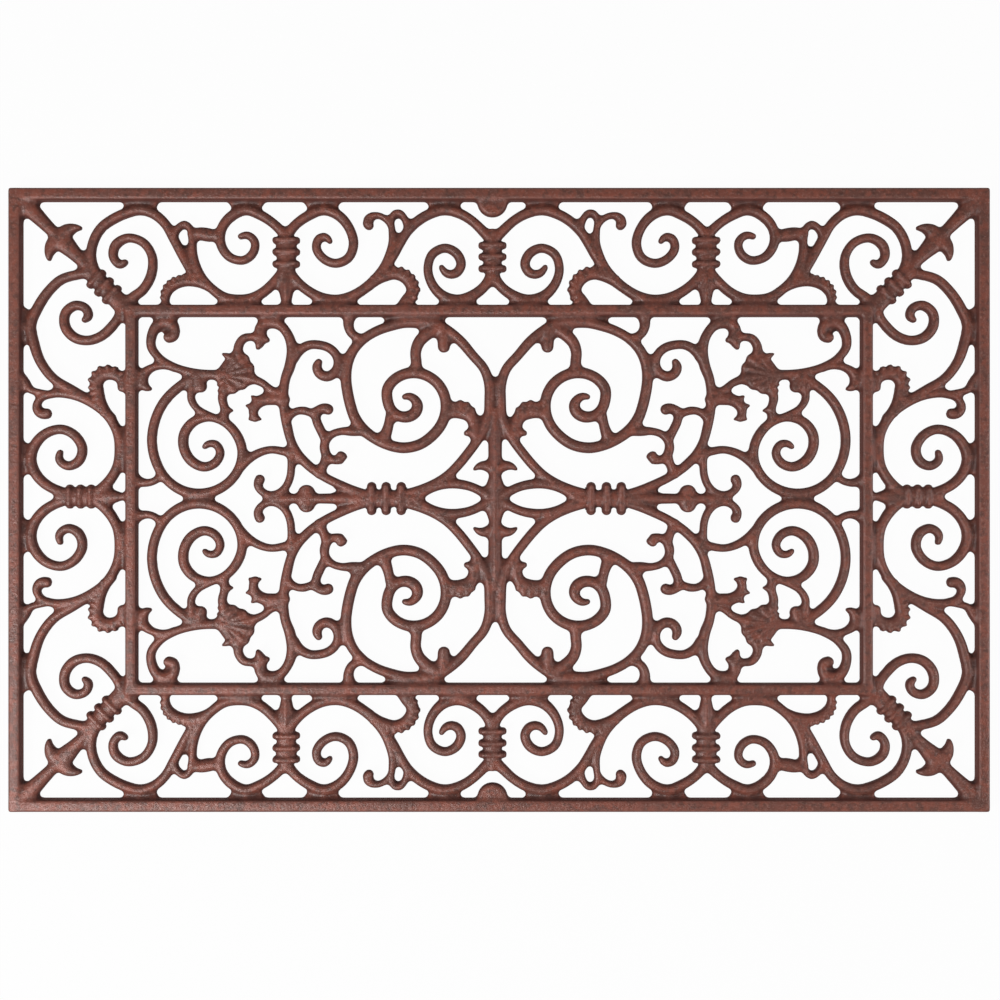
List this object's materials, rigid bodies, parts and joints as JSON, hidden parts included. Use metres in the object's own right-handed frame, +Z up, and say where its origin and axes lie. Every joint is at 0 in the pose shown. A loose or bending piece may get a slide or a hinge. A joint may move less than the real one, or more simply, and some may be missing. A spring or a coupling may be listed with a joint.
{
  "type": "cast iron boot scraper mat",
  "caption": "Flat rectangular cast-iron scraper mat: scrolls, leaves and shells in a double frame, on short feet, for scraping boots at a doorstep.",
  "frame": {"origin": "middle of the mat's outline, on the ground under the feet", "axes": "+X along the mat's length to its right end, +Y across it to its back side, +Z up from the ground"},
  "size_m": [0.736, 0.468, 0.014],
  "materials": {
    "iron": "rust-brown antique coating, matt"
  },
  "bodies": {
    "root": {"outer_rail_back": "iron", "inner_rail_back": "iron", "outer_rail_front": "iron", "inner_rail_front": "iron", "outer_rail_left": "iron", "inner_rail_left": "iron", "outer_rail_right": "iron", "inner_rail_right": "iron", "corner_scroll_back_left": "iron", "long_scroll_back_left": "iron", "shell_back_left": "iron", "lyre_back_left": "iron", "oval_back_left": "iron", "side_scroll_back_left": "iron", "corner_foot_back_left": "iron", "corner_scroll_back_right": "iron", "long_scroll_back_right": "iron", "shell_back_right": "iron", "lyre_back_right": "iron", "oval_back_right": "iron", "side_scroll_back_right": "iron", "corner_foot_back_right": "iron", "corner_scroll_front_left": "iron", "long_scroll_front_left": "iron", "shell_front_left": "iron", "lyre_front_left": "iron", "oval_front_left": "iron", "side_scroll_front_left": "iron", "corner_foot_front_left": "iron", "corner_scroll_front_right": "iron", "long_scroll_front_right": "iron", "shell_front_right": "iron", "lyre_front_right": "iron", "oval_front_right": "iron", "side_scroll_front_right": "iron", "corner_foot_front_right": "iron", "middle_scroll_back": "iron", "middle_foot_back": "iron", "middle_scroll_front": "iron", "middle_foot_front": "iron", "end_scroll_left": "iron", "stem_left": "iron", "end_scroll_right": "iron", "stem_right": "iron", "cross": "iron"}
  },
  "joints": []
}
